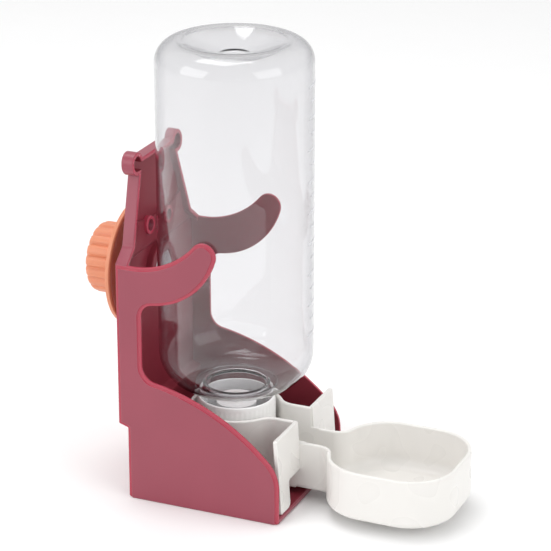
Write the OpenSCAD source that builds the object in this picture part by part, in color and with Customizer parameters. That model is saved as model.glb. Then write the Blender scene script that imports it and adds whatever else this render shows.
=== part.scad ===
// Clamp-on water bottle for rabbits: an upturned bottle stands in a bracket, with its valve cap in
// the cup of a drinking tray. Millimetres. +Z is up, -Y is the drinking side, +Y is the side that
// clamps to the cage, and X = 0 is the mirror plane. Lengths along Y are given from the bottle's
// axis, and the finished model is centred on its own footprint.

/* [Bottle] */
// Outside diameter of the bottle
bottle_d = 70; // [64:1:70]
// Height of the bottle's base, which points up
bottle_top = 209.2; // [190:0.2:240]
// Radius of the rounded shoulder
shoulder_r = 17; // [14:1:17]
// Height where the shoulder meets the neck
neck_z = 48; // [48:1:52]
// Thickness of the bottle's wall
bottle_wall = 1; // [0.8:0.1:1.4]
// Depth of the dome pushed into the bottle's base
push_up = 7; // [4:1:10]
// Spacing of the measuring ticks
tick_pitch = 7.2; // [6:0.1:8]
// Number of measuring ticks
tick_count = 17; // [5:1:17]

/* [Bracket] */
// Width over the side walls
bracket_w = 75; // [75:0.5:78]
// Distance from the bottle's axis forward to the base's front edge
base_front = 36.6; // [36:0.2:38]
// Distance from the bottle's axis back to the base's rear wall
base_back = 37; // [36.6:0.2:37.4]
// Distance from the bottle's axis back to the clamping face
plate_back = 41.5; // [41.5:0.1:42]
// Height of the step in the rear wall
step_z = 34; // [32:1:38]
// Height of the arms' straight top edge
arm_top = 111.7; // [110:0.1:113]
// Height of the back plate's top edge
plate_top = 155; // [152:0.2:160]
// How far the back plate leans back above the arms, in degrees
back_lean = 3.1; // [2:0.1:3.4]
// Distance between the centres of the two ears
ear_spacing = 38.4; // [36:0.4:42]
// Diameter of an ear
ear_d = 10.6; // [9:0.2:12]
// Height of the clamp screw
screw_z = 99.4; // [97:0.2:101]
// Height of the two spare screw holes
spare_hole_z = 121.2; // [119:0.2:123]
// Distance between the spare screw holes
spare_spacing = 16; // [12:0.5:20]

/* [Tray] */
// Distance from the bottle's axis to the bowl's front
bowl_reach = 109.5; // [108:0.5:116]
// Width and length of the bowl
bowl_w = 60; // [56:1:64]
// Radius of the bowl's corners
bowl_corner_r = 22; // [16:1:24]
// Height of the tray's underside
tray_z = 5; // [5:0.1:5.6]
// Height of the rim of the bowl and the channel
bowl_rim_z = 28.3; // [26:0.1:30]
// Height of the rim of the cup
cup_rim_z = 38; // [36:0.5:40]
// Outside diameter of the cup
cup_d = 43.4; // [43.4:0.2:44]
// Outside width of the channel
channel_w = 18.8; // [18:0.2:20]
// Wall thickness of the tray
tray_wall = 1.8; // [1.6:0.1:1.8]

/* [Clamp] */
// Gap between the back plate and the clamping disc
clamp_gap = 7.5; // [7.3:0.1:8]
// Diameter of the clamping disc
disc_d = 57; // [50:1:60]
// Diameter of the knob's grip
grip_d = 32.4; // [28:0.2:36]
// Length of the knob's grip
grip_l = 16.7; // [16.7:0.1:18]
// Number of flutes round the grip
flute_count = 18; // [12:1:22]

/* [Hidden] */
$fn = 96;

rose = [0.66, 0.30, 0.36];
orange = [0.96, 0.58, 0.38];
off_white = [0.93, 0.91, 0.89];
clear = [0.86, 0.88, 0.90, 0.35];
steel = [0.62, 0.63, 0.65];
silicone = [0.80, 0.80, 0.78];

bottle_r = bottle_d / 2;
half_w = bracket_w / 2;
side_skin = 1.3;                      // wall behind the raised face
face_rise = 0.7;                      // height of the raised face
face_inset = 1.5;                     // distance of the raised face from the wall's edges
inner_w = half_w - side_skin - face_rise;
wall = 2.2;                           // rear wall and shelf
floor_t = 2.4;
plate_front = plate_back - 5.7;       // front edge of the back plate's rim
boss_front = plate_front + 0.4;       // front of the screw's boss
rim_t = 2;
sheet_t = 2;

mouth_z = 25.5;                       // open end of the neck
neck_r = 15;
neck_bore_r = 13.6;
neck_ring_r = 18.7;
cap_z = 22;                           // underside of the cap
cap_top = 42.5;
cap_r = 18;
cap_base = 2;
skirt_r = 16.6;
seat_z = cap_z + cap_base;
valve_lift = 3.05;                    // how far the seated bottle holds its valve open
stem_r = 2.6;
guide_r = 2.2;
head_r = 6.5;
seal_t = 1.4;
head_z = seat_z + valve_lift + seal_t;
head_t = 2;
cage_top = 38;                        // underside of the cage's top, where the spring bears
stem_tip_z = 14;
running = 0.05;                       // radial clearance of parts that turn or slide

cup_r = cup_d / 2;
bowl_y = bowl_w / 2 - bowl_reach;
tray_floor_z = tray_z + 2;
channel_in = channel_w / 2 - tray_wall;
plate_y = 34;                         // front face of the tray's plates, at their top
plate_half_w = 32.6;
plate_lean = 4;
leg_w = 10.4;
leg_z = floor_t + 0.2;
cup_cut = -22;                        // where the cup ends and the channel starts
bowl_cut = -49;                       // where the channel ends and the bowl starts

disc_t = 2.5;
disc_y = plate_back + clamp_gap;
grip_y = disc_y + disc_t + 0.1;
screw_r = 4;
screw_head_t = 3;
screw_tip_y = 58.5;
hex_r = 7.5;                          // across-flats 13, as a six-sided cylinder's radius
nut_t = 6.5;
nut_y = grip_y + 1.4;

axis_y = (bowl_reach - grip_y - grip_l) / 2;
big = 200;

// Puts a finished sub-part in place, with its colour
module part(c) {
  color(c) translate([0, axis_y, 0]) children();
}

// Points along an arc, with the angles in degrees
function arc(x, y, r, a0, a1, n = 14) =
  [for (i = [0:n]) let (a = a0 + (a1 - a0) * i / n) [x + r * cos(a), y + r * sin(a)]];

// Angle of the direction from point p to point q
function heading(p, q) = atan2(q[1] - p[1], q[0] - p[0]);

// A side profile in Y and Z, made h thick along X
module along_x(h) {
  rotate([90, 0, 90]) linear_extrude(h) children();
}

// A front profile in X and Z, from y0 back to y1
module along_y(y0, y1) {
  translate([0, y1, 0]) rotate([90, 0, 0]) linear_extrude(y1 - y0) children();
}

// A cylinder along Y, from y0 back to y1
module rod_y(y0, y1, r, z, x = 0, sides = 96) {
  translate([x, y1, z]) rotate([90, 0, 0]) cylinder(h = y1 - y0, r = r, $fn = sides);
}

/* ---- bracket ---- */

// The arm: a concave top edge, a round tip and a convex lower edge, all tangent
tip_r = 6;
tip_a = 220.5;
top_sweep_r = 38.9;
top_sweep = [33.3, arm_top + top_sweep_r];
tip = top_sweep + (top_sweep_r + tip_r) * [cos(tip_a), sin(tip_a)];
low_sweep = [27.3, 130.2];
low_sweep_r = norm(tip - low_sweep) + tip_r;
// The window between the arm and the base
window_y = 29.7;
window_top_r = 6.5;
window_low_r = 7.5;
// The base's top edge sweeps down to its front
brow = [41, -42.5];
brow_r = 101.8;
front_r = 17.9;

window_top = [
  window_y - window_top_r,
  low_sweep[1] - sqrt(pow(low_sweep_r + window_top_r, 2) - pow(window_y - window_top_r - low_sweep[0], 2))
];
window_low = [
  window_y - window_low_r,
  brow[1] + sqrt(pow(brow_r + window_low_r, 2) - pow(window_y - window_low_r - brow[0], 2))
];
front_c = [
  front_r - base_front,
  brow[1] + sqrt(pow(brow_r - front_r, 2) - pow(front_r - base_front - brow[0], 2))
];

// The side wall's outline in Y and Z; drop lowers its bottom edge
module side_outline(drop = 0) {
  to_tip = heading(top_sweep, tip);
  to_low = heading(low_sweep, tip) + 360;
  to_window = heading(low_sweep, window_top) + 360;
  to_brow = heading(brow, window_low);
  to_front = heading(brow, front_c);
  polygon(concat(
    [[-base_front, -drop], [base_back, -drop], [base_back, step_z], [plate_back, step_z + 1.5]],
    [[plate_back, arm_top]],
    arc(top_sweep[0], top_sweep[1], top_sweep_r, -90, to_tip, 18),
    arc(tip[0], tip[1], tip_r, to_tip + 180, to_low, 18),
    arc(low_sweep[0], low_sweep[1], low_sweep_r, to_low, to_window, 20),
    arc(window_top[0], window_top[1], window_top_r, to_window - 180, 0, 10),
    arc(window_low[0], window_low[1], window_low_r, 0, to_brow - 180, 10),
    arc(brow[0], brow[1], brow_r, to_brow, to_front, 24),
    arc(front_c[0], front_c[1], front_r, to_front, 180, 10)
  ));
}

// One side wall at +X: a plain skin with a raised face that keeps clear of its edges
module side_wall() {
  translate([inner_w, 0, 0]) along_x(side_skin) side_outline();
  translate([inner_w + side_skin, 0, 0]) along_x(face_rise) offset(delta = -face_inset)
    side_outline(face_inset);
}

module bracket_side_right() {
  part(rose) side_wall();
}

module bracket_side_left() {
  part(rose) mirror([1, 0, 0]) side_wall();
}

// The floor, with two rails that carry the tray
module bracket_floor() {
  rail_w = 2;
  rail_x = 5;
  part(rose) {
    translate([-inner_w, -base_front, 0]) cube([2 * inner_w, base_front + base_back, floor_t]);
    for (side = [-1, 1])
      translate([side * rail_x - rail_w / 2, -base_front + 8, floor_t])
        cube([rail_w, base_front + 10, tray_z - running - floor_t]);
  }
}

// Outline of the back plate in X and Z, with its two ears
module plate_outline() {
  neck = [19, 148];
  waist = [28.4, 118.2];
  right = [[inner_w, arm_top - wall], [inner_w, arm_top], [half_w, arm_top], waist, neck,
    [ear_spacing / 2, plate_top]];
  left = [for (i = [len(right) - 1:-1:0]) [-right[i][0], right[i][1]]];
  polygon(concat(right, left));
  for (side = [-1, 1])
    translate([side * ear_spacing / 2, plate_top - 1.9]) circle(d = ear_d);
}

// The rear wall, stepped in Y and Z, up to the shelf under the back plate
module rear_wall() {
  translate([-inner_w, 0, 0]) along_x(2 * inner_w) polygon([
    [base_back - wall, floor_t], [base_back, floor_t], [base_back, step_z],
    [plate_back, step_z + 1.5], [plate_back, arm_top], [plate_back - wall, arm_top],
    [plate_back - wall, step_z + 1.5 + wall], [base_back - wall, step_z + wall]
  ]);
}

// The leaning plate above the arms: a sheet with a rim round it and two ringed holes
module back_plate() {
  hole_r = 2.7;
  ring_r = 4.2;
  ring_t = 1.2;
  sheet_front = plate_back - sheet_t;
  translate([0, plate_back, arm_top]) rotate([-back_lean, 0, 0])
    translate([0, -plate_back, -arm_top]) difference() {
      union() {
        along_y(sheet_front, plate_back) plate_outline();
        difference() {
          along_y(plate_front, sheet_front) plate_outline();
          along_y(plate_front - 1, sheet_front) offset(delta = -rim_t) plate_outline();
        }
        for (side = [-1, 1])
          rod_y(sheet_front - ring_t, sheet_front, ring_r, spare_hole_z, side * spare_spacing / 2);
      }
      for (side = [-1, 1])
        rod_y(plate_front - 1, plate_back + 1, hole_r, spare_hole_z, side * spare_spacing / 2);
    }
}

module bracket_back() {
  boss_r = 11;
  part(rose) difference() {
    union() {
      back_plate();
      rear_wall();
      rod_y(boss_front, plate_back - wall, boss_r, screw_z);
    }
    rod_y(boss_front - 1, boss_front + screw_head_t, hex_r + 0.2, screw_z, sides = 6);
    rod_y(boss_front, plate_back + 1, screw_r + running, screw_z);
  }
}

/* ---- clamp ---- */

// Hexagon head in the boss, shank out through the back plate
module clamp_screw() {
  head_y = boss_front + 0.1;
  part(steel) {
    rod_y(head_y, head_y + screw_head_t - 0.1, hex_r, screw_z, sides = 6);
    rod_y(head_y + screw_head_t - 0.1, screw_tip_y, screw_r, screw_z);
  }
}

// The disc that presses the cage against the back plate; its rim stands proud towards the cage
module clamp_disc() {
  rim_w = 3;
  dish = 0.9;
  part(orange) difference() {
    rod_y(disc_y, disc_y + disc_t, disc_d / 2, screw_z);
    rod_y(disc_y - 1, disc_y + dish, disc_d / 2 - rim_w, screw_z);
    rod_y(disc_y - 1, disc_y + disc_t + 1, screw_r + 0.3, screw_z);
  }
}

// The fluted grip, rounded at its outer end, with a pocket for the nut
module knob() {
  round_r = 3;
  flute_r = 1.7;
  bore_y = grip_y + 14.5;
  part(orange) difference() {
    translate([0, grip_y, screw_z]) rotate([-90, 0, 0]) rotate_extrude() polygon(concat(
      [[0, 0], [grip_d / 2, 0]],
      arc(grip_d / 2 - round_r, grip_l - round_r, round_r, 0, 90, 8),
      [[0, grip_l]]
    ));
    for (i = [0:flute_count - 1])
      rotate_about_screw(360 * i / flute_count)
        rod_y(grip_y - 1, grip_y + grip_l + 1, flute_r, screw_z, grip_d / 2 + 0.7, 32);
    rod_y(grip_y - 1, bore_y, screw_r + 0.3, screw_z);
    rod_y(grip_y - 1, nut_y + nut_t, hex_r, screw_z, sides = 6);
  }
}

// Turns a shape round the clamp screw's axis
module rotate_about_screw(a) {
  translate([0, 0, screw_z]) rotate([0, a, 0]) translate([0, 0, -screw_z]) children();
}

// The nut held in the knob
module knob_nut() {
  part(steel) difference() {
    rod_y(nut_y, nut_y + nut_t, hex_r - running, screw_z, sides = 6);
    rod_y(nut_y - 1, nut_y + nut_t + 1, screw_r + running, screw_z);
  }
}

/* ---- drinking tray ---- */

// A square of width w centred on the bowl, with round corners
module bowl_outline(inset) {
  w = bowl_w - 2 * inset;
  r = bowl_corner_r - inset;
  translate([0, bowl_y]) {
    square([w, w - 2 * r], center = true);
    square([w - 2 * r, w], center = true);
    for (x = [-1, 1], y = [-1, 1])
      translate([x * (w / 2 - r), y * (w / 2 - r)]) circle(r = r);
  }
}

// A front plate with its leg at +X, leaning forward towards its foot
module tray_plate() {
  plate_t = 2;
  skirt_z = 15;
  foot_y = bowl_reach;
  intersection() {
    translate([0, -plate_y, cup_rim_z]) rotate([-plate_lean, 0, 0]) translate([0, 0, -cup_rim_z]) {
      translate([channel_in + 0.6, 0, skirt_z])
        cube([plate_half_w - channel_in - 0.6, plate_t, cup_rim_z - skirt_z]);
      translate([plate_half_w - leg_w, 0, 0]) cube([leg_w, plate_t, cup_rim_z]);
    }
    translate([0, -foot_y, leg_z]) cube([half_w, foot_y, cup_rim_z - leg_z]);
  }
}

// Ribs that the cap stands on, and the pin that holds the valve open
module cup_fittings() {
  rib_t = 2;
  rib_in = 14;
  for (a = [0, 90, 180])
    rotate([0, 0, a]) translate([rib_in, -rib_t / 2, tray_z + 1])
      cube([cup_r - rib_in - 1, rib_t, cap_z - running - tray_z - 1]);
  translate([0, 0, tray_z + 1]) cylinder(h = stem_tip_z - running - tray_z - 1, r = stem_r);
}

module tray_body() {
  top = cup_rim_z - tray_z;
  low_top = bowl_rim_z - tray_z;
  foot = 1.5;
  difference() {
    union() {
      translate([0, 0, tray_z]) cylinder(h = top, r = cup_r);
      translate([-channel_w / 2, -plate_y, tray_z]) cube([channel_w, plate_y, top]);
      translate([-channel_w / 2, bowl_cut - 2, tray_z]) cube([channel_w, -bowl_cut + 2, low_top]);
      translate([0, 0, tray_z]) linear_extrude(foot) bowl_outline(foot);
      translate([0, 0, tray_z + foot]) linear_extrude(low_top - foot) bowl_outline(0);
      for (side = [0, 1]) mirror([side, 0, 0]) tray_plate();
    }
    translate([0, 0, tray_floor_z]) cylinder(h = big, r = cup_r - tray_wall);
    translate([-channel_in, bowl_cut - 10, tray_floor_z])
      cube([2 * channel_in, 10 - bowl_cut, big]);
    translate([0, 0, tray_floor_z]) linear_extrude(big) bowl_outline(tray_wall);
  }
  cup_fittings();
}

// The stretch of the tray between two planes across Y
module tray_between(y0, y1) {
  part(off_white) intersection() {
    tray_body();
    translate([-half_w, y0, 0]) cube([bracket_w, y1 - y0, big]);
  }
}

module tray_cup() {
  tray_between(cup_cut, cup_r + 1);
}

module tray_channel() {
  tray_between(bowl_cut, cup_cut);
}

module tray_bowl() {
  tray_between(-bowl_reach - 1, bowl_cut);
}

/* ---- bottle ---- */

// Height of the domed base at radius r
function base_z(r, ring_r) = bottle_top - push_up * cos(90 * r / ring_r);

// The bottle's skin, set in by inset, from the neck up to the axis
function bottle_points(inset, neck) =
  let (
    heel_r = 9.8,
    ring_r = bottle_r - heel_r - 2,
    heel_z = bottle_top - heel_r
  )
  concat(
    [[neck, neck_z + inset], [bottle_r - shoulder_r, neck_z + inset]],
    arc(bottle_r - shoulder_r, neck_z + shoulder_r, shoulder_r - inset, -90, 0, 20),
    arc(bottle_r - heel_r, heel_z, heel_r - inset, 0, 90, 10),
    [for (i = [10:-1:0]) [ring_r * i / 10, base_z(ring_r * i / 10, ring_r) - inset]]
  );

// Raised marks, long and short in turn, near the drinking side
module bottle_ticks() {
  first_z = 76;
  tick_h = 0.5;
  rise = 0.15;
  middle = -78;
  for (i = [0:tick_count - 1]) {
    half = i % 2 == 0 ? 12 : 6;
    rotate([0, 0, middle - half]) rotate_extrude(angle = 2 * half)
      translate([bottle_r - bottle_wall / 2, first_z + i * tick_pitch])
        square([bottle_wall / 2 + rise, tick_h]);
  }
}

module bottle() {
  thread_h = 1.2;
  thread_rise = 1;
  part(clear) {
    rotate_extrude() difference() {
      polygon(concat([[0, mouth_z], [neck_r, mouth_z]], bottle_points(0, neck_r)));
      polygon(concat([[0, mouth_z - 1], [neck_bore_r, mouth_z - 1]],
        bottle_points(bottle_wall, neck_bore_r)));
    }
    rotate_extrude() translate([neck_r - 0.5, neck_z - 1.2])
      square([neck_ring_r - neck_r + 0.5, 1.2]);
    for (z = [29, 33])
      rotate_extrude() translate([neck_r - 0.5, z]) square([thread_rise + 0.5, thread_h]);
    bottle_ticks();
  }
}

/* ---- cap and valve ---- */

// The screw cap: a ribbed skirt, a base with the valve seat and a nozzle down from it
module cap() {
  nozzle_r = 7;
  nozzle_bore_r = 4.5;
  nozzle_l = 4;
  rib_count = 48;
  part(off_white) difference() {
    union() {
      translate([0, 0, cap_z]) cylinder(h = cap_top - cap_z, r = cap_r - 0.3);
      translate([0, 0, cap_z - nozzle_l]) cylinder(h = nozzle_l + 1, r = nozzle_r);
      for (i = [0:rib_count - 1])
        rotate([0, 0, 360 * i / rib_count]) translate([cap_r - 1, -0.4, cap_z])
          cube([1, 0.8, cap_top - cap_z - 1]);
    }
    translate([0, 0, seat_z]) cylinder(h = big, r = skirt_r);
    translate([0, 0, cap_z - nozzle_l - 1]) cylinder(h = big, r = nozzle_bore_r);
  }
}

// The sealing ring between the bottle's mouth and the cap
module cap_gasket() {
  part(silicone) rotate_extrude() translate([13, seat_z])
    square([3.3, mouth_z - seat_z]);
}

// The basket that holds the spring over the valve: a ring, four legs and a guide for the stem
module valve_cage() {
  ring_r = 12.6;
  ring_t = 1.4;
  top_r = 9;
  leg = 1.8;
  part(off_white) difference() {
    union() {
      translate([0, 0, seat_z]) cylinder(h = ring_t, r = ring_r);
      translate([0, 0, cage_top]) cylinder(h = 1.6, r = top_r);
      for (a = [0:90:270])
        rotate([0, 0, a + 45]) translate([top_r - leg, -leg / 2, seat_z])
          cube([leg, leg, cage_top + 1.6 - seat_z]);
    }
    translate([0, 0, seat_z - 1]) cylinder(h = ring_t + 2, r = head_r + 0.6);
    translate([0, 0, cage_top - 1]) cylinder(h = 4, r = guide_r + running);
  }
}

// The plunger: a stem that the tray's pin lifts, a head and a guide stem
module valve_plunger() {
  part(off_white) {
    translate([0, 0, stem_tip_z]) cylinder(h = head_z - stem_tip_z + 1, r = stem_r);
    translate([0, 0, head_z]) cylinder(h = head_t, r = head_r);
    translate([0, 0, head_z + head_t - 1]) cylinder(h = 43 - head_z - head_t, r = guide_r);
  }
}

// The rubber washer under the plunger's head
module valve_seal() {
  part(silicone) rotate_extrude() translate([stem_r, head_z - seal_t])
    square([head_r - 0.3 - stem_r, seal_t]);
}

// The spring between the plunger's head and the cage, with a closed turn at each end
module valve_spring() {
  wire_r = 0.4;
  coil_r = 3.6;
  turns = 5;
  steps = 16;
  z0 = head_z + head_t + wire_r + running;
  z1 = cage_top - wire_r - running;
  function coil_z(t) = t < 1 ? z0 : t > turns - 1 ? z1 : z0 + (z1 - z0) * (t - 1) / (turns - 2);
  module bead(t) {
    translate([coil_r * cos(360 * t), coil_r * sin(360 * t), coil_z(t)]) sphere(r = wire_r, $fn = 8);
  }
  part(steel) for (i = [0:turns * steps - 1]) hull() {
    bead(i / steps);
    bead((i + 1) / steps);
  }
}

bracket_back();
bracket_side_left();
bracket_side_right();
bracket_floor();
clamp_screw();
clamp_disc();
knob();
knob_nut();
tray_cup();
tray_channel();
tray_bowl();
bottle();
cap();
cap_gasket();
valve_cage();
valve_plunger();
valve_seal();
valve_spring();
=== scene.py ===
import math

import bmesh
import bpy
from mathutils import Matrix, Vector


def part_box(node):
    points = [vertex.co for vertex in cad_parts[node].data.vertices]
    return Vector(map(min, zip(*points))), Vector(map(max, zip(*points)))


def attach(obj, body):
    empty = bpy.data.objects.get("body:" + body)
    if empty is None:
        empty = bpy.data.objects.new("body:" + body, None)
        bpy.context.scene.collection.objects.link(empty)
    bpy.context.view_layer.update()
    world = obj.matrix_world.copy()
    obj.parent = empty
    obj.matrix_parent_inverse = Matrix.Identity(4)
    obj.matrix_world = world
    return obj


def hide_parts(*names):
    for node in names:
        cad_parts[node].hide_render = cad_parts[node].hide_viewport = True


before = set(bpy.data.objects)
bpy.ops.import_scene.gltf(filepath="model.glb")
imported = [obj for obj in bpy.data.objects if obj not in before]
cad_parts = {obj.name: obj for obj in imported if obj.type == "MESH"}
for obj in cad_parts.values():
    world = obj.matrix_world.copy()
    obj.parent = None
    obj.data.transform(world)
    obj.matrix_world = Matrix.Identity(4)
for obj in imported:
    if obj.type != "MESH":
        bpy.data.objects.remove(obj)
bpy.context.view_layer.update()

# The looks of the clamp-on water bottle. Shapes are written in millimetres from the bottle's axis,
# with -Y towards the bowl, as in the part's source, and at() puts them in the frame in metres.

MM = 0.001
cap_low, cap_high = (Vector(c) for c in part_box("cap"))
AXIS_Y = (cap_low.y + cap_high.y) / 2


def at(x, y, z):
    return Vector((x * MM, AXIS_Y + y * MM, z * MM))


# ---------------------------------------------------------------- outlines

def polar(centre, radius, degrees):
    a = math.radians(degrees)
    return (centre[0] + radius * math.cos(a), centre[1] + radius * math.sin(a))


def arc(centre, radius, start, end, steps=12):
    return [polar(centre, radius, start + (end - start) * i / steps) for i in range(steps + 1)]


def heading(p, q):
    return math.degrees(math.atan2(q[1] - p[1], q[0] - p[0]))


def mirrored(points):
    """The points, and then their mirror images in u = 0, going back."""
    return points + [(-p[0],) + tuple(p[1:]) for p in reversed(points)]


def clean(points):
    """Drops points that repeat the one before, and turns the outline counter-clockwise."""
    kept = []
    for p in points:
        if not kept or math.dist(p[:2], kept[-1][:2]) > 1e-3:
            kept.append(p)
    if math.dist(kept[0][:2], kept[-1][:2]) < 1e-3:
        kept.pop()
    area = sum(a[0] * b[1] - b[0] * a[1] for a, b in zip(kept, kept[1:] + kept[:1]))
    return kept if area > 0 else kept[::-1]


def rounded(points, steps=4):
    """A closed outline whose corners given as (u, v, radius) are rounded."""
    out = []
    for i, p in enumerate(points):
        if len(p) == 2:
            out.append(p)
            continue
        here = Vector(p[:2])
        back = (Vector(points[i - 1][:2]) - here).normalized()
        ahead = (Vector(points[(i + 1) % len(points)][:2]) - here).normalized()
        half = back.angle(ahead) / 2
        centre = here + (back + ahead).normalized() * (p[2] / math.sin(half))
        reach = p[2] / math.tan(half)
        start = here + back * reach - centre
        turn = start.angle_signed(here + ahead * reach - centre)
        for k in range(steps + 1):
            q = start.copy()
            q.rotate(Matrix.Rotation(-turn * k / steps, 2))
            out.append(tuple(centre + q))
    return out


def inset(points, by, closed=True):
    """The outline moved inwards, which is to the left of its direction, and then rounded."""
    n = len(points)
    out = []
    for i in range(n):
        p = Vector(points[i][:2])
        sides = []
        if closed or i > 0:
            sides.append((p - Vector(points[i - 1][:2])).normalized())
        if closed or i < n - 1:
            sides.append((Vector(points[(i + 1) % n][:2]) - p).normalized())
        normals = [Vector((-d.y, d.x)) for d in sides]
        total = sum(normals, Vector((0, 0)))
        share = 1 + normals[0].dot(normals[-1]) if len(normals) == 2 else 1
        moved = tuple(p + total * (by / share))
        if len(points[i]) == 3:
            outward = sides[0].cross(sides[-1]) > 0
            moved += (max(points[i][2] - by, 0.12) if outward else points[i][2] + by,)
        out.append(moved)
    return rounded(out) if closed else out


def circle(radius, centre=(0, 0), steps=48):
    return [polar(centre, radius, 360 * i / steps) for i in range(steps)]


def hexagon(radius, steps=48):
    """A hexagon with its points on the u axis, sampled evenly round its centre."""
    apothem = radius * math.cos(math.radians(30))
    angles = [360 * i / steps for i in range(steps)]
    return [polar((0, 0), apothem / math.cos(math.radians(a % 60 - 30)), a) for a in angles]


# ---------------------------------------------------------------- solids

class Shape:
    """A mesh that is put together from skins."""

    def __init__(self):
        self.bm = bmesh.new()

    def skin(self, rings, closed=True, looped=False, caps=True, mats=None, ends=(0, 0)):
        """Faces between rings of points. A looped skin joins its last ring to its first."""
        rows = [[self.bm.verts.new(at(*p)) for p in ring] for ring in rings]
        pairs = list(zip(rows, rows[1:])) + ([(rows[-1], rows[0])] if looped else [])
        for k, (a, b) in enumerate(pairs):
            n = len(a)
            for i in range(n if closed else n - 1):
                j = (i + 1) % n
                face = self.bm.faces.new((a[i], a[j], b[j], b[i]))
                face.material_index = mats[k] if mats else 0
        if caps and closed and not looped:
            self.bm.faces.new(rows[0][::-1]).material_index = ends[0]
            self.bm.faces.new(rows[-1]).material_index = ends[1]
        if caps and looped and not closed:
            self.bm.faces.new([row[0] for row in rows])
            self.bm.faces.new([row[-1] for row in rows][::-1])
        return self

    def prism(self, outline, levels, place, mats=None, ends=(0, 0)):
        """An outline carried through levels of (inset, depth)."""
        rings = [[place(u, v, depth) for u, v in inset(outline, by)] for by, depth in levels]
        return self.skin(rings, mats=mats, ends=ends)

    def turned(self, profile, place, steps=96, looped=True):
        """A profile of (radius, height) turned round an axis. One that isn't looped ends on it."""
        rings = []
        for radius, height in profile:
            ring = [polar((0, 0), max(radius, 1e-4), 360 * i / steps) for i in range(steps)]
            rings.append([place(u, v, height) for u, v in ring])
        return self.skin(rings, looped=looped, caps=False)

    def piece(self, name, *materials, sharp=38):
        bmesh.ops.remove_doubles(self.bm, verts=self.bm.verts, dist=1e-6)
        bmesh.ops.recalc_face_normals(self.bm, faces=self.bm.faces)
        mesh = bpy.data.meshes.new(name)
        self.bm.to_mesh(mesh)
        self.bm.free()
        obj = bpy.data.objects.new(name, mesh)
        bpy.context.collection.objects.link(obj)
        for material in materials:
            mesh.materials.append(material)
        shade(obj, sharp)
        return obj


FLAT_AREA = 6e-5             # a face larger than this is a flat panel, in square metres


def shade(obj, sharp=38):
    obj.data.shade_smooth()
    obj.data.set_sharp_from_angle(angle=math.radians(sharp))
    for face in obj.data.polygons:
        face.use_smooth = face.area < FLAT_AREA
    weighted = obj.modifiers.new("weighted", "WEIGHTED_NORMAL")
    weighted.keep_sharp = True


def combine(obj, others, operation):
    """Adds the others to obj or cuts them out of it, for good."""
    obj.modifiers.clear()
    for other in others:
        step = obj.modifiers.new("combine", "BOOLEAN")
        step.operation = operation
        step.solver = "EXACT"
        step.object = other
    depsgraph = bpy.context.evaluated_depsgraph_get()
    mesh = bpy.data.meshes.new_from_object(obj.evaluated_get(depsgraph))
    obj.modifiers.clear()
    obj.data = mesh
    for other in others:
        bpy.data.objects.remove(other)


def join(obj, others):
    """Puts the others' meshes into obj, whose materials they share."""
    bm = bmesh.new()
    for o in [obj] + others:
        bm.from_mesh(o.data)
    bm.to_mesh(obj.data)
    bm.free()
    for other in others:
        bpy.data.objects.remove(other)


def up_z(u, v, depth):
    return (u, v, depth)


def back_y(u, v, depth):
    return (u, depth, v)


def round_screw(u, v, depth):
    return (u, depth, SCREW_Z + v)


def edge(radius, steps=4):
    """Levels (inset, depth) of a quarter round that starts on a flat face."""
    angles = [math.radians(90 * i / steps) for i in range(steps + 1)]
    return [(radius - radius * math.sin(a), radius - radius * math.cos(a)) for a in angles]


def slab(low, high, radius):
    """Levels of a plate from low to high with both edges rounded."""
    first = [(by, low + depth) for by, depth in edge(radius)]
    return first + [(by, high - depth) for by, depth in reversed(edge(radius))]


# ---------------------------------------------------------------- materials

NOISE_LOW, NOISE_HIGH = 0.08, 0.92     # nearly all of the noise lies between these


def grain(nodes, links, scale, detail, stretch=(1, 1, 1)):
    """A noise fixed to the piece, in metres."""
    coord = nodes.new("ShaderNodeTexCoord")
    mapping = nodes.new("ShaderNodeMapping")
    mapping.inputs["Scale"].default_value = stretch
    noise = nodes.new("ShaderNodeTexNoise")
    noise.inputs["Scale"].default_value = scale
    noise.inputs["Detail"].default_value = detail
    links.new(coord.outputs["Object"], mapping.inputs["Vector"])
    links.new(mapping.outputs["Vector"], noise.inputs["Vector"])
    return noise.outputs["Fac"]


def ramp(nodes, links, fac, low, high):
    """A colour between low and high."""
    node = nodes.new("ShaderNodeValToRGB")
    node.color_ramp.elements[0].position = NOISE_LOW
    node.color_ramp.elements[1].position = NOISE_HIGH
    node.color_ramp.elements[0].color = (*low, 1)
    node.color_ramp.elements[1].color = (*high, 1)
    links.new(fac, node.inputs["Fac"])
    return node.outputs["Color"]


def spread(nodes, links, fac, low, high, start=NOISE_LOW, end=NOISE_HIGH):
    """A value between low and high, as fac goes from start to end."""
    node = nodes.new("ShaderNodeMapRange")
    node.inputs["From Min"].default_value = start
    node.inputs["From Max"].default_value = end
    node.inputs["To Min"].default_value = low
    node.inputs["To Max"].default_value = high
    links.new(fac, node.inputs["Value"])
    return node.outputs["Result"]


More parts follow.
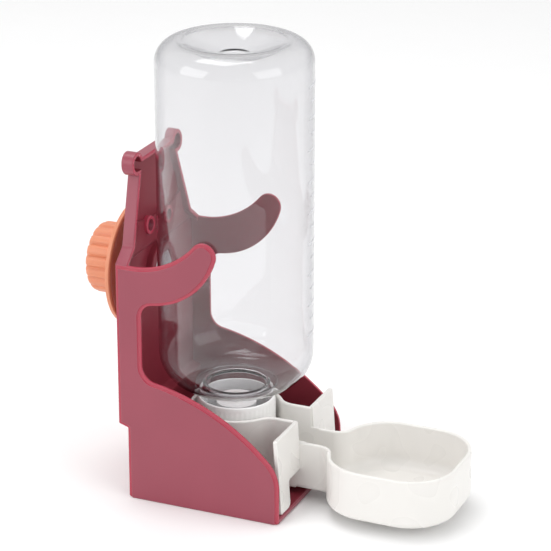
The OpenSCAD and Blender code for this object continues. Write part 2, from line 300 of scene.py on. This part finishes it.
def material(name, colour, rough, mottle=0.04, bump=0.1, metal=0.0, subsurface=0.0, specular=0.5):
    """A moulded or worked surface: uneven colour and gloss, and a shallow relief."""
    mat = bpy.data.materials.new(name)
    mat.use_nodes = True
    nodes, links = mat.node_tree.nodes, mat.node_tree.links
    shader = nodes["Principled BSDF"]
    low = tuple(c * (1 - mottle) for c in colour)
    high = tuple(min(1, c * (1 + mottle)) for c in colour)
    cloud = grain(nodes, links, 38, 1)
    links.new(ramp(nodes, links, cloud, low, high), shader.inputs["Base Color"])
    smear = grain(nodes, links, 70, 0)
    links.new(spread(nodes, links, smear, rough * 0.88, rough * 1.12), shader.inputs["Roughness"])
    relief = nodes.new("ShaderNodeBump")
    relief.inputs["Strength"].default_value = bump
    relief.inputs["Distance"].default_value = 0.00003
    links.new(grain(nodes, links, 150, 0), relief.inputs["Height"])
    links.new(relief.outputs["Normal"], shader.inputs["Normal"])
    shader.inputs["Metallic"].default_value = metal
    shader.inputs["Specular IOR Level"].default_value = specular
    if subsurface:
        shader.inputs["Subsurface Weight"].default_value = subsurface
        shader.inputs["Subsurface Radius"].default_value = (1.0, 0.9, 0.8)
        shader.inputs["Subsurface Scale"].default_value = 0.003
    return mat


def clear_plastic(name, tint, rim_tint, rough, wave):
    """Blown clear plastic, slightly wavy, with a deeper tint where it is seen edge on.

    Shadow rays and diffuse rays go straight through it.
    """
    mat = bpy.data.materials.new(name)
    mat.use_nodes = True
    nodes, links = mat.node_tree.nodes, mat.node_tree.links
    shader = nodes["Principled BSDF"]
    shader.inputs["Transmission Weight"].default_value = 1
    shader.inputs["IOR"].default_value = 1.46
    low = tuple(c * 0.985 for c in tint)
    cloud = grain(nodes, links, 30, 3, (1, 1, 0.4))
    rim = nodes.new("ShaderNodeLayerWeight")
    rim.inputs["Blend"].default_value = 0.5
    depth = nodes.new("ShaderNodeMix")
    depth.data_type = "RGBA"
    depth.inputs["B"].default_value = (*rim_tint, 1)
    links.new(ramp(nodes, links, cloud, low, tint), depth.inputs["A"])
    links.new(spread(nodes, links, rim.outputs["Facing"], 0, 1, 0.50, 0.95), depth.inputs["Factor"])
    links.new(depth.outputs["Result"], shader.inputs["Base Color"])
    smear = grain(nodes, links, 90, 4)
    links.new(spread(nodes, links, smear, rough * 0.6, rough * 1.4), shader.inputs["Roughness"])
    relief = nodes.new("ShaderNodeBump")
    relief.inputs["Strength"].default_value = wave
    relief.inputs["Distance"].default_value = 0.0004
    links.new(grain(nodes, links, 42, 1, (1, 1, 0.35)), relief.inputs["Height"])
    links.new(relief.outputs["Normal"], shader.inputs["Normal"])
    ray = nodes.new("ShaderNodeLightPath")
    lamp = nodes.new("ShaderNodeMath")
    lamp.operation = "MAXIMUM"
    links.new(ray.outputs["Is Shadow Ray"], lamp.inputs[0])
    links.new(ray.outputs["Is Diffuse Ray"], lamp.inputs[1])
    through = nodes.new("ShaderNodeBsdfTransparent")
    through.inputs["Color"].default_value = (0.97, 0.97, 0.975, 1)
    mix = nodes.new("ShaderNodeMixShader")
    links.new(lamp.outputs["Value"], mix.inputs["Fac"])
    links.new(shader.outputs["BSDF"], mix.inputs[1])
    links.new(through.outputs["BSDF"], mix.inputs[2])
    links.new(mix.outputs["Shader"], nodes["Material Output"].inputs["Surface"])
    return mat


ROSE = material("rose_face", (0.315, 0.060, 0.090), 0.30, mottle=0.06, bump=0.05)
# Painted light: the rounded edges get a brighter, deeper rose than the faces of the same plastic.
# This stands in for the sheen that washes out the broad faces and not the edges.
ROSE_EDGE_PAINTED_LIGHT = material("rose_edge_painted_light", (0.44, 0.050, 0.085), 0.22, mottle=0.04, bump=0.03)
# Painted shade: a darker, less glossy copy of the rose for the faces inside the bracket, where
# shade falls.
ROSE_PAINTED_SHADE = material("rose_painted_shade", (0.235, 0.030, 0.045), 0.42, mottle=0.10, bump=0.05,
                      specular=0.16)
ORANGE = material("orange_plastic", (0.75, 0.285, 0.155), 0.36, mottle=0.04, bump=0.05,
                  subsurface=0.08)
WHITE = material("white_plastic", (0.84, 0.822, 0.79), 0.28, mottle=0.010, bump=0.02)
CAP_WHITE = material("cap_white", (0.95, 0.945, 0.93), 0.32, mottle=0.01, bump=0.02)
CLEAR = clear_plastic("clear_bottle", (0.895, 0.893, 0.903), (0.46, 0.46, 0.49), 0.008, 0.03)
TICK = material("moulded_tick", (0.72, 0.73, 0.76), 0.4, mottle=0.05, bump=0.1)
STEEL = material("zinc_steel", (0.60, 0.60, 0.61), 0.30, mottle=0.06, bump=0.25, metal=1.0)
SPRING = material("spring_wire", (0.66, 0.66, 0.68), 0.22, mottle=0.05, bump=0.2, metal=1.0)
SILICONE = material("silicone", (0.74, 0.74, 0.71), 0.55, mottle=0.04, bump=0.2, subsurface=0.2)

# ---------------------------------------------------------------- bracket

HALF_W = 37.5
INNER_W = 35.5
SKIN_W = 36.8                 # level of the band round the raised face
BASE_FRONT = 36.6
BASE_BACK = 37
PLATE_BACK = 41.5
PLATE_FRONT = 35.8
STEP_Z = 34
ARM_TOP = 111.7
PLATE_TOP = 155
BACK_SLOPE = 0.054            # how far the back plate leans back for each millimetre of height
EAR = (19.2, PLATE_TOP - 1.9)
EAR_R = 5.3
SCREW_Z = 99.4
SPARE_HOLES = ((-8, 121.2), (8, 121.2))
SPARE_R = 2.7
SPARE_RING_R = 4.2
FLOOR_T = 2.4
BACK_T = 2.2                  # thickness of the rear wall
FACE, PAINTED_EDGE_LIGHT, PAINTED_SHADE = 0, 1, 2   # the bracket's material slots: the faces, the rounded edges in a brighter rose of painted light, and the inner faces in a darker rose of painted shade


def side_outline(drop):
    """The side wall's outline in Y and Z; drop lowers its bottom edge."""
    tip_r, top_r = 6, 38.9
    top = (33.3, ARM_TOP + top_r)
    tip = polar(top, top_r + tip_r, 220.5)
    low = (27.3, 130.2)
    low_r = math.dist(low, tip) + tip_r
    brow, brow_r = (41, -42.5), 101.8
    front_r = 17.9
    window_y, upper_r, lower_r = 29.7, 6.5, 7.5
    upper_y = window_y - upper_r
    upper = (upper_y, low[1] - math.sqrt((low_r + upper_r) ** 2 - (upper_y - low[0]) ** 2))
    lower_y = window_y - lower_r
    lower = (lower_y, brow[1] + math.sqrt((brow_r + lower_r) ** 2 - (lower_y - brow[0]) ** 2))
    front_y = front_r - BASE_FRONT
    front = (front_y, brow[1] + math.sqrt((brow_r - front_r) ** 2 - (front_y - brow[0]) ** 2))
    to_tip = heading(top, tip)
    to_low = heading(low, tip) + 360
    to_upper = heading(low, upper) + 360
    to_lower = heading(brow, lower)
    to_front = heading(brow, front)
    corners = [
        (-BASE_FRONT, -drop, 0.9), (BASE_BACK, -drop, 0.9), (BASE_BACK, STEP_Z, 0.5),
        (PLATE_BACK, STEP_Z + 1.5, 0.7), (PLATE_BACK, ARM_TOP, 0.9),
    ]
    return clean(
        corners
        + arc(top, top_r, -90, to_tip, 22)
        + arc(tip, tip_r, to_tip + 180, to_low, 22)
        + arc(low, low_r, to_low, to_upper, 24)
        + arc(upper, upper_r, to_upper - 180, 0, 12)
        + arc(lower, lower_r, 0, to_lower - 180, 12)
        + arc(brow, brow_r, to_lower, to_front, 34)
        + arc(front, front_r, to_front, 180, 12)
    )


def side_wall(shape, side):
    """A wall with rounded edges and a raised face that keeps 1.5 mm clear of them."""
    band = [(0.25, INNER_W), (0.07, INNER_W + 0.07), (0, INNER_W + 0.25), (0, SKIN_W - 0.3),
            (0.09, SKIN_W - 0.09), (0.3, SKIN_W), (1.25, SKIN_W), (1.4, SKIN_W + 0.08),
            (1.5, SKIN_W + 0.25), (1.5, HALF_W - 0.25), (1.57, HALF_W - 0.07), (1.75, HALF_W)]
    rings = [[(side * x, y, z) for y, z in inset(side_outline(by), by)] for by, x in band]
    # The rounded edge bands take the brighter rose of painted light. The wall's inner cap takes the
    # darker rose of painted shade.
    mats = [PAINTED_EDGE_LIGHT] * (len(band) - 2) + [FACE]
    shape.skin(rings, mats=mats, ends=(PAINTED_SHADE, FACE))


def lean(x, y, z):
    """A point of the back plate, which leans back above the arms."""
    return (x, y + max(0, z - ARM_TOP) * BACK_SLOPE, z)


def lean_y(u, v, depth):
    return lean(u, depth, v)


def plate_edge():
    """The back plate's edge in X and Z, from its right foot over both ears to its left foot."""
    meet = math.degrees(math.asin((PLATE_TOP - EAR[1]) / EAR_R))
    ear = arc(EAR, EAR_R, -96, 180 - meet, 20)
    right = [(36.75, 109.6), (36.75, ARM_TOP), (36.7, 112.0), (30.0, 117.1)]
    right += arc((31.9, 119.8), 3.3, 234, 191, 5)
    return mirrored(right + ear)


def bracket():
    """The whole bracket, which is one moulding."""
    walls = Shape()
    for side in (-1, 1):
        side_wall(walls, side)
    sheet = rounded([
        (-BASE_FRONT, 0, 0.5), (BASE_BACK, 0, 0.9), (BASE_BACK, STEP_Z, 0.5),
        (PLATE_BACK, STEP_Z + 1.5, 0.7), (PLATE_BACK, 111.0), (PLATE_BACK - BACK_T, 111.0),
        (PLATE_BACK - BACK_T, STEP_Z + 3.7, 1.5), (BASE_BACK - BACK_T, STEP_Z + 2.2, 0.8),
        (BASE_BACK - BACK_T, FLOOR_T, 1.2), (-BASE_FRONT, FLOOR_T, 0.9),
    ])
    rings = [[(x, y, z) for y, z in sheet] for x in (-INNER_W - 0.25, INNER_W + 0.25)]
    walls.skin(rings)
    for x in (-5, 5):
        rail = [(x - 1, -28.6, 0.6), (x + 1, -28.6, 0.6), (x + 1, 18, 0.6), (x - 1, 18, 0.6)]
        walls.prism(rail, [(0, FLOOR_T - 0.2), (0, 4.6), (0.1, 4.85), (0.35, 4.95)], up_z)
    edge_path = clean(plate_edge())
    rim = [(0.3, PLATE_BACK), (0, PLATE_BACK - 0.3), (0, PLATE_FRONT + 0.5),
           (0.15, PLATE_FRONT + 0.15), (0.5, PLATE_FRONT), (1.5, PLATE_FRONT),
           (1.85, PLATE_FRONT + 0.15), (2, PLATE_FRONT + 0.5), (2, PLATE_BACK)]
    rings = [[lean(x, depth, z) for x, z in inset(edge_path, by, closed=False)]
             for by, depth in rim]
    # Round the plate's rim: the faces, then the rounded edge in the brighter rose of painted light,
    # then the inner side in the darker rose of painted shade.
    mats = [FACE] * 3 + [PAINTED_EDGE_LIGHT] * 3 + [PAINTED_SHADE] * 2 + [FACE]
    walls.skin(rings, closed=False, looped=True, mats=mats)
    walls.skin([
        [round_screw(u, v, depth) for u, v in ring]
        for ring, depth in (
            (circle(11), PLATE_BACK - 1), (circle(11), PLATE_FRONT + 0.8),
            (circle(10.6), PLATE_FRONT + 0.4), (hexagon(8.0), PLATE_FRONT + 0.4),
            (hexagon(7.7), PLATE_FRONT + 0.7), (hexagon(7.7), PLATE_FRONT + 3.4),
        )
    ])
    roses = (ROSE, ROSE_EDGE_PAINTED_LIGHT, ROSE_PAINTED_SHADE)
    body = walls.piece("bracket", *roses)
    # Painted shade: faces inside the bracket that don't face back or down are given the darker
    # rose.
    for face in body.data.polygons:
        x, y, z = (face.center - at(0, 0, 0)) / MM
        inside = abs(x) < INNER_W + 0.1 and y < PLATE_BACK - 1 and FLOOR_T - 0.1 < z < ARM_TOP - 1
        turned_in = face.normal.y < 0.5 and face.normal.z > -0.5
        if inside and turned_in and face.material_index == FACE:
            face.material_index = PAINTED_SHADE
    plate = Shape()
    foot = [(-INNER_W - 0.3, ARM_TOP - 0.6), (INNER_W + 0.3, ARM_TOP - 0.6)]
    inner = [p for p in inset(edge_path, 0.2, closed=False) if p[1] > ARM_TOP + 0.1]
    corners = [(INNER_W + 0.3, ARM_TOP)] + inner + [(-INNER_W - 0.3, ARM_TOP)]
    # The back plate's inner side, and the whole pad in front of it, take the darker rose of painted
    # shade.
    plate.prism(clean(foot + corners), [(0, PLATE_BACK - 2), (0, PLATE_BACK - 0.02)], lean_y,
                ends=(PAINTED_SHADE, FACE))
    pad = Shape()
    pad_half, pad_turn = 27.6, 21.5
    pad_top = arc((0, 190.4), 67, 270 + pad_turn, 270 - pad_turn, 12)
    pad_levels = slab(PLATE_BACK - 2.9, PLATE_BACK - 1, 0.4)
    pad.prism(clean([(-pad_half, ARM_TOP), (pad_half, ARM_TOP)] + pad_top), pad_levels, lean_y,
              mats=[PAINTED_SHADE] * len(pad_levels), ends=(PAINTED_SHADE, PAINTED_SHADE))
    extras = [plate.piece("plate", *roses), pad.piece("pad", *roses)]
    levels = slab(PLATE_BACK - 4.2, PLATE_BACK - 1, 0.35)
    for hole in SPARE_HOLES:
        # The rings round the spare holes take the brighter rose of painted light, as the rounded
        # edges do.
        ring = Shape().prism(circle(SPARE_RING_R, hole), levels, lean_y,
                             mats=[PAINTED_EDGE_LIGHT] * len(levels), ends=(PAINTED_EDGE_LIGHT, PAINTED_EDGE_LIGHT))
        extras.append(ring.piece("ring", *roses))
    for part in extras:
        cuts = [Shape().prism(circle(SPARE_R, hole), [(0, 30), (0, 50)], back_y)
                for hole in SPARE_HOLES]
        combine(part, [cut.piece("hole", *roses) for cut in cuts], "DIFFERENCE")
    join(body, extras)
    body.modifiers.clear()
    shade(body)
    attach(body, "bracket")
    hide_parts("bracket_back", "bracket_side_left", "bracket_side_right", "bracket_floor")


bracket()

# ---------------------------------------------------------------- clamp

DISC_Y = 49
DISC_T = 2.5
DISC_R = 28.5
GRIP_Y = 51.6
GRIP_R = 16.2
GRIP_L = 16.7
FLUTES = 18
SCREW_TIP = 58.4


def clamp_screw():
    """A chamfered hexagon head and a threaded shank."""
    shape = Shape()
    head = [(6.9, PLATE_FRONT + 0.5), (7.35, PLATE_FRONT + 0.75), (7.45, PLATE_FRONT + 1.1),
            (7.45, PLATE_FRONT + 3.3)]
    shape.skin([[round_screw(u, v, y) for u, v in hexagon(r)] for r, y in head])
    pitch = 1.25
    start = PLATE_BACK + 0.3
    turns = int((SCREW_TIP - 0.8 - start) / pitch)
    thread = [(0, PLATE_FRONT + 3), (3.95, PLATE_FRONT + 3), (3.95, start)]
    for i in range(turns):
        y = start + i * pitch
        thread += [(3.4, y + 0.25), (3.45, y + 0.45), (3.9, y + 0.85), (3.9, y + 1.05)]
    thread += [(3.0, SCREW_TIP), (0, SCREW_TIP)]
    shape.turned(thread, round_screw, 48, looped=False)
    piece = shape.piece("clamp_screw_threaded", STEEL, sharp=30)
    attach(piece, "bracket")
    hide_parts("clamp_screw")


def clamp_disc():
    """A dished disc with a rounded rim that stands proud towards the cage."""
    back = DISC_Y + DISC_T
    profile = [(4.3, DISC_Y + 0.9), (24.6, DISC_Y + 0.9), (25.3, DISC_Y + 0.7),
               (25.7, DISC_Y + 0.3), (26.0, DISC_Y + 0.06), (26.4, DISC_Y), (27.6, DISC_Y),
               (28.15, DISC_Y + 0.15), (DISC_R, DISC_Y + 0.55), (DISC_R, back - 0.7),
               (28.3, back - 0.25), (27.8, back), (4.3, back)]
    shape = Shape().turned(profile, round_screw, 128)
    piece = shape.piece("clamp_disc_dished", ORANGE)
    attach(piece, "clamp_disc")
    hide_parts("clamp_disc")


def knob():
    """The grip: broad lobes between narrow flutes, which run out in the rounded end."""
    per_flute = 14
    end = GRIP_Y + GRIP_L
    round_r = 3

    def ring(radius, y, depth):
        points = []
        for i in range(FLUTES * per_flute):
            across = abs((i % per_flute) / per_flute - 0.5)
            flute = depth * math.exp(-((0.5 - across) / 0.15) ** 2)
            u, v = polar((0, 0), radius - flute, 360 * i / (FLUTES * per_flute))
            points.append(round_screw(u, v, y))
        return points

    flute = 1.15
    rings = [ring(4.3, GRIP_Y + 14.5, 0), ring(4.3, GRIP_Y, 0), ring(GRIP_R - 0.5, GRIP_Y, flute),
             ring(GRIP_R - 0.15, GRIP_Y + 0.15, flute), ring(GRIP_R, GRIP_Y + 0.5, flute)]
    for i in range(9):
        a = math.radians(90 * i / 8)
        fade = flute * (1 - 0.55 * (i / 8) ** 2)
        inward, along = round_r - round_r * math.cos(a), round_r - round_r * math.sin(a)
        rings.append(ring(GRIP_R - inward, end - along, fade))
    rings += [ring(11.6, end, 0), ring(11.1, end - 0.12, 0), ring(10.7, end - 0.5, 0),
              ring(6, end - 0.6, 0), ring(1, end - 0.6, 0)]
    piece = Shape().skin(rings).piece("knob_fluted", ORANGE, sharp=50)
    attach(piece, "knob")
    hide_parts("knob")


clamp_screw()
clamp_disc()
knob()

# ---------------------------------------------------------------- drinking tray

TRAY_Z = 5
TRAY_FLOOR = 7
TRAY_WALL = 1.8
BOWL_RIM = 28.3
CUP_RIM = 38
CUP_R = 21.7
CHANNEL_W = 9.4
BOWL_HALF = 30
BOWL_CORNER = 22
BOWL_Y = -79.5
PLATE_Y = -34
RIM_R = 0.85


def bowl_outline(back):
    """Bowl and channel in X and Y, with the channel closed at Y = back."""
    blend = 6
    c = (BOWL_HALF - BOWL_CORNER, BOWL_Y + BOWL_HALF - BOWL_CORNER)
    blend_x = CHANNEL_W + blend
    blend_y = c[1] + math.sqrt((BOWL_CORNER + blend) ** 2 - (blend_x - c[0]) ** 2)
    join_angle = heading(c, (blend_x, blend_y))
    right = [(CHANNEL_W, back)]
    right += arc((blend_x, blend_y), blend, 180, 180 + join_angle, 10)
    right += arc(c, BOWL_CORNER, join_angle, 0, 16)
    right += arc((c[0], BOWL_Y - BOWL_HALF + BOWL_CORNER), BOWL_CORNER, 0, -90, 20)
    return clean(mirrored(right))


def cup_outline(front):
    """Cup and channel in X and Y, with the channel closed at Y = front."""
    blend = 8
    blend_x = CHANNEL_W + blend
    blend_y = -math.sqrt((CUP_R + blend) ** 2 - blend_x ** 2)
    join_angle = heading((0, 0), (blend_x, blend_y))
    right = [(CHANNEL_W, front)]
    right += arc((blend_x, blend_y), blend, 180, 180 + join_angle, 10)
    right += arc((0, 0), CUP_R, join_angle, 90, 30)
    return clean(mirrored(right))


def outer_levels(top, foot):
    levels = [(by, TRAY_Z + depth) for by, depth in edge(foot, 6)]
    return levels + [(by, top - depth) for by, depth in reversed(edge(RIM_R, 5))]


def inner_levels(top, fillet):
    """From above the rim down to the floor, with a round rim and a round floor corner."""
    lip = RIM_R + 0.1
    levels = [(lip, top + 4), (lip, top)]
    for i in range(1, 6):
        a = math.radians(18 * i)
        levels.append((lip + RIM_R * math.sin(a), top - RIM_R + RIM_R * math.cos(a)))
    for i in range(8):
        a = math.radians(90 * i / 7)
        inward, height = fillet * (1 - math.cos(a)), fillet * (1 - math.sin(a))
        levels.append((TRAY_WALL + inward, TRAY_FLOOR + height))
    return levels


def tray_plate(shape, side):
    """One front plate with its leg, leaning forward towards the foot."""
    tilt = math.radians(4)
    inner_x, leg_x, outer_x = 8.5, 22.2, 32.6
    hem_z, foot_z = 15.3, 2.7

    def place(u, v, depth):
        down = CUP_RIM - v
        return (side * u, PLATE_Y - down * math.sin(tilt) + depth * math.cos(tilt),
                CUP_RIM - down * math.cos(tilt) - depth * math.sin(tilt))

    outline = [(inner_x, hem_z), (leg_x, hem_z, 1.2), (leg_x, foot_z, 2.6), (outer_x, foot_z, 0.8),
               (outer_x, CUP_RIM, 0.9), (inner_x, CUP_RIM)]
    shape.prism(clean(outline), slab(0, 2, 0.35), place)


def tray():
    """The whole tray, which is one moulding: cup, channel, front plates with legs, and bowl."""
    body = Shape().prism(bowl_outline(-30), outer_levels(BOWL_RIM, 3), up_z).piece("tray", WHITE)
    cup = Shape().prism(cup_outline(PLATE_Y + 0.5), outer_levels(CUP_RIM, 1.5), up_z)
    combine(body, [cup.piece("cup", WHITE)], "UNION")
    bowl_room = Shape().prism(bowl_outline(PLATE_Y - 2), inner_levels(BOWL_RIM, 5.5), up_z)
    cup_room = Shape().prism(cup_outline(PLATE_Y - 8), inner_levels(CUP_RIM, 3), up_z)
    rooms = [bowl_room.piece("bowl_room", WHITE), cup_room.piece("cup_room", WHITE)]
    combine(body, rooms, "DIFFERENCE")
    extras = Shape()
    for side in (-1, 1):
        tray_plate(extras, side)
    for turn in (0, 90, 180):
        spin = Matrix.Rotation(math.radians(turn), 2)

        def place(u, v, depth):
            p = spin @ Vector((u, v))
            return (p.x, p.y, depth)

        rib = [(14, -1, 0.5), (CUP_R - 1, -1), (CUP_R - 1, 1), (14, 1, 0.5)]
        extras.prism(rib, [(0, TRAY_Z + 1), (0, 21.5), (0.1, 21.8), (0.4, 21.95)], place)
    pin = [(0, TRAY_Z + 1), (3.4, TRAY_Z + 1), (3.4, TRAY_FLOOR), (2.8, 7.8), (2.5, 9), (2.4, 13.2),
           (2.2, 13.7), (1.7, 13.95), (0, 13.95)]
    extras.turned(pin, up_z, 32, looped=False)
    join(body, [extras.piece("extras", WHITE)])
    shade(body, 42)
    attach(body, "tray")
    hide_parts("tray_cup", "tray_channel", "tray_bowl")


tray()

# ---------------------------------------------------------------- bottle and cap

BOTTLE_R = 35
BOTTLE_TOP = 209.2
HEEL_R = 9.8
DOME_R = BOTTLE_R - HEEL_R - 1.5
PUSH_UP = 7                   # depth of the dome pushed into the base
SHOULDER_R = 17
NECK_Z = 48
NECK_R = 15
MOUTH_Z = 25.5
CAP_Z = 22
CAP_TOP = 42.5
TICKS = 17
TICK_Z = 76                   # height of the lowest tick
TICK_PITCH = 7.2
TICK_MIDDLE = -78             # direction of the ticks from the bottle's axis, in degrees


def base_z(r):
    """The bottle's base: a dome pushed in, with a shallow ring round its middle."""
    dome = PUSH_UP * math.cos(math.radians(90 * r / DOME_R))
    return BOTTLE_TOP - dome + 0.5 * math.exp(-((r - 6) / 0.8) ** 2)


def bottle():
    """A blown bottle with a real wall, thicker at its base and neck, and raised ticks."""
    wall = 0.9
    heel = (BOTTLE_R - HEEL_R, BOTTLE_TOP - HEEL_R)
    shoulder = (BOTTLE_R - SHOULDER_R, NECK_Z + SHOULDER_R)
    radii = [DOME_R * i / 28 for i in range(29)]
    outer = [(r, base_z(r)) for r in radii]
    outer += arc(heel, HEEL_R, 90, 0, 16)
    outer += [(BOTTLE_R, z) for z in (180, 150, 120, 90)]
    outer += arc(shoulder, SHOULDER_R, 0, -88, 26)
    outer += [(18.75, 47.95), (18.85, 47.6), (18.85, 47.2), (18.6, 46.85), (15.6, 46.7),
              (NECK_R, 46.2)]
    for z in (33, 29):
        outer += [(NECK_R, z + 1.6), (16, z + 1.1), (16, z + 0.4), (NECK_R, z - 0.2)]
    outer += [(NECK_R, MOUTH_Z + 0.3), (NECK_R - 0.3, MOUTH_Z), (13.9, MOUTH_Z)]
    inner = [(13.6, MOUTH_Z + 0.3), (13.6, NECK_Z - 0.5)]
    inner += [(13.9, NECK_Z + 0.5), (14.8, NECK_Z + 1.0)]
    inner += arc(shoulder, SHOULDER_R - wall, -88, 0, 26)
    inner += [(BOTTLE_R - wall, z) for z in (90, 120, 150, 180)]
    inner += arc(heel, HEEL_R - wall - 0.3, 0, 90, 16)
    inner += [(r, base_z(r) - wall - 0.4) for r in reversed(radii)]
    shape = Shape().turned(outer + inner, up_z, 160, looped=False)
    section = ((34.8, 0), (35.08, 0), (35.13, 0.1), (35.13, 0.35), (35.08, 0.45), (34.8, 0.45))
    for i in range(TICKS):
        half = 12 if i % 2 == 0 else 6
        z = TICK_Z + TICK_PITCH * i
        rings = []
        for r, h in section:
            along = arc((0, 0), r, TICK_MIDDLE - half, TICK_MIDDLE + half, 10)
            rings.append([(*p, z + h) for p in along])
        shape.skin(rings, closed=False, looped=True, mats=[1] * len(section))
    piece = shape.piece("bottle_blown", CLEAR, TICK, sharp=60)
    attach(piece, "bottle")
    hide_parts("bottle")


def cap():
    """The ribbed screw cap with its nozzle."""
    ribs = 48
    rib_rise = 0.12
    steps = ribs * 4

    def ring(radius, z, rib=0.0):
        points = []
        for i in range(steps):
            rise = rib if i % 4 < 2 else 0
            points.append(polar((0, 0), radius + rise, 360 * i / steps) + (z,))
        return points

    rings = [ring(4.5, 18.3), ring(4.8, 18), ring(6.7, 18), ring(7, 18.3), ring(7, CAP_Z - 0.4),
             ring(7.4, CAP_Z), ring(16.9, CAP_Z), ring(17.45, CAP_Z + 0.25),
             ring(17.65, CAP_Z + 0.8), ring(17.7, CAP_Z + 1.2, rib_rise),
             ring(17.7, CAP_TOP - 2.2, rib_rise), ring(17.65, CAP_TOP - 1.8),
             ring(17.65, CAP_TOP - 0.6), ring(17.4, CAP_TOP - 0.15), ring(17.1, CAP_TOP),
             ring(16.9, CAP_TOP), ring(16.6, CAP_TOP - 0.3), ring(16.6, CAP_Z + 2),
             ring(4.5, CAP_Z + 2)]
    piece = Shape().skin(rings, looped=True).piece("cap_ribbed", CAP_WHITE, sharp=40)
    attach(piece, "cap")
    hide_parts("cap")


bottle()
cap()

for node, finish in {
    "knob_nut": STEEL, "cap_gasket": SILICONE, "valve_cage": CAP_WHITE,
    "valve_plunger": WHITE, "valve_seal": SILICONE, "valve_spring": SPRING,
}.items():
    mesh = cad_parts[node].data
    mesh.materials.clear()
    mesh.materials.append(finish)

# ---------------------------------------------------------------- floor, light and camera

FLOOR_DROP = 0.0003           # keeps the floor clear of the base, in metres
SKY_STRENGTH = 0.75

floor_mat = material("pale_floor", (0.97, 0.97, 0.97), 0.8, mottle=0.004, bump=0.03, specular=0.1)
bm = bmesh.new()
bmesh.ops.create_grid(bm, x_segments=8, y_segments=8, size=6)
floor_mesh = bpy.data.meshes.new("floor")
bm.to_mesh(floor_mesh)
bm.free()
floor_mesh.materials.append(floor_mat)
floor = bpy.data.objects.new("floor", floor_mesh)
floor.location.z = -FLOOR_DROP
bpy.context.collection.objects.link(floor)


def softbox(name, place, size, power, aim=(0, 0, 0.1)):
    data = bpy.data.lights.new(name, "AREA")
    data.shape = "RECTANGLE"
    data.size, data.size_y = size
    data.energy = power
    lamp = bpy.data.objects.new(name, data)
    lamp.location = place
    lamp.rotation_euler = (Vector(aim) - Vector(place)).to_track_quat("-Z", "Y").to_euler()
    bpy.context.collection.objects.link(lamp)


softbox("left", (-0.89, 0.75, 0.60), (0.9, 0.8), 4.2, aim=(0, 0, 0.15))
softbox("front", (-0.30, -1.10, 0.62), (0.9, 0.8), 3.3, aim=(0, 0, 0.15))
softbox("top", (0.1, 0.25, 1.3), (0.7, 0.7), 5.6)

world = bpy.data.worlds.new("studio")
bpy.context.scene.world = world
world.use_nodes = True
nodes, links = world.node_tree.nodes, world.node_tree.links
coord = nodes.new("ShaderNodeTexCoord")
split = nodes.new("ShaderNodeSeparateXYZ")
sky = nodes.new("ShaderNodeValToRGB")
sky.color_ramp.elements[0].position = 0.0
sky.color_ramp.elements[0].color = (0.95, 0.95, 0.96, 1)
sky.color_ramp.elements[1].position = 0.6
sky.color_ramp.elements[1].color = (1.0, 1.0, 1.0, 1)
links.new(coord.outputs["Generated"], split.inputs["Vector"])
links.new(split.outputs["Z"], sky.inputs["Fac"])
links.new(sky.outputs["Color"], nodes["Background"].inputs["Color"])
nodes["Background"].inputs["Strength"].default_value = SKY_STRENGTH

CAMERA_AT = (-0.9588, -0.4136, 0.5049)
LOOK_AT = (0, 0.0017, 0.1028)
LENS = 164.8
SHIFT_X = 0.0015

camera_data = bpy.data.cameras.new("camera")
camera_data.sensor_width = 36
camera_data.lens = LENS
camera_data.shift_x = SHIFT_X
camera = bpy.data.objects.new("camera", camera_data)
camera.location = CAMERA_AT
look = Vector(LOOK_AT) - camera.location
camera.rotation_euler = look.to_track_quat("-Z", "Y").to_euler()
bpy.context.collection.objects.link(camera)
bpy.context.scene.camera = camera
bpy.context.scene.view_settings.view_transform = "Standard"
